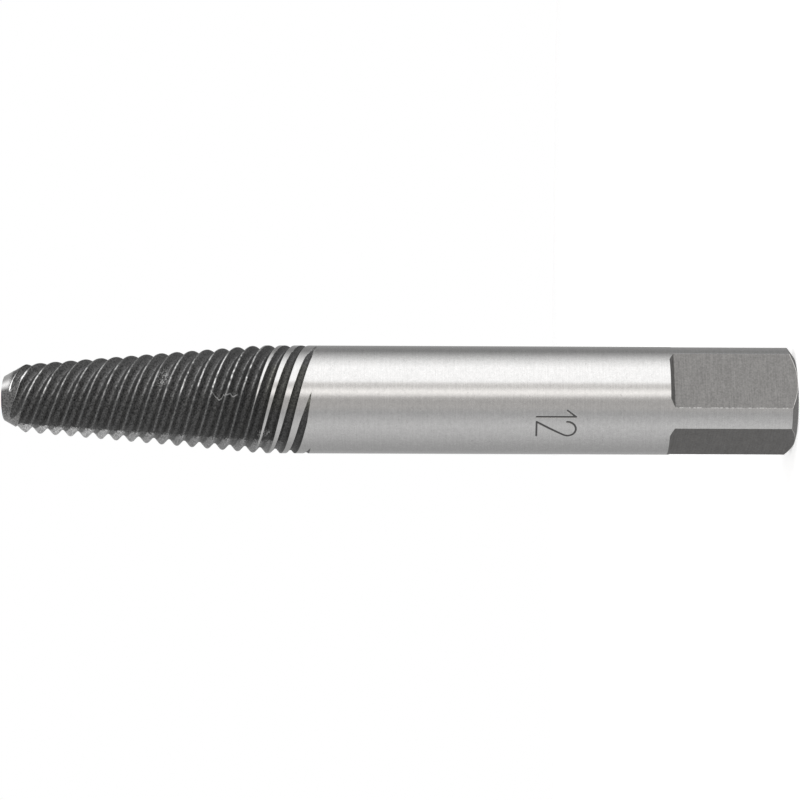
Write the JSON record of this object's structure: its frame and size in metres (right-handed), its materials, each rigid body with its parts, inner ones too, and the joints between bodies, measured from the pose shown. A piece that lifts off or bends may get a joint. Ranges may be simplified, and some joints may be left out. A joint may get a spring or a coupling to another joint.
{
  "type": "screw extractor",
  "caption": "Left-hand tapered screw extractor: steep multi-start tapered thread, round steel shank and square drive end.",
  "frame": {"origin": "centre of the end face of the square drive, which the tool stands on", "axes": "+Z along the bar, from the square drive to the tip of the thread; +X and +Y square to the drive's flats"},
  "size_m": [0.012, 0.012, 0.0875],
  "materials": {
    "tool_steel": "ground and bright on the shank, the square and the tip, with dark hardening scale in the thread"
  },
  "bodies": {
    "root": {"extractor": "tool_steel"}
  },
  "joints": []
}
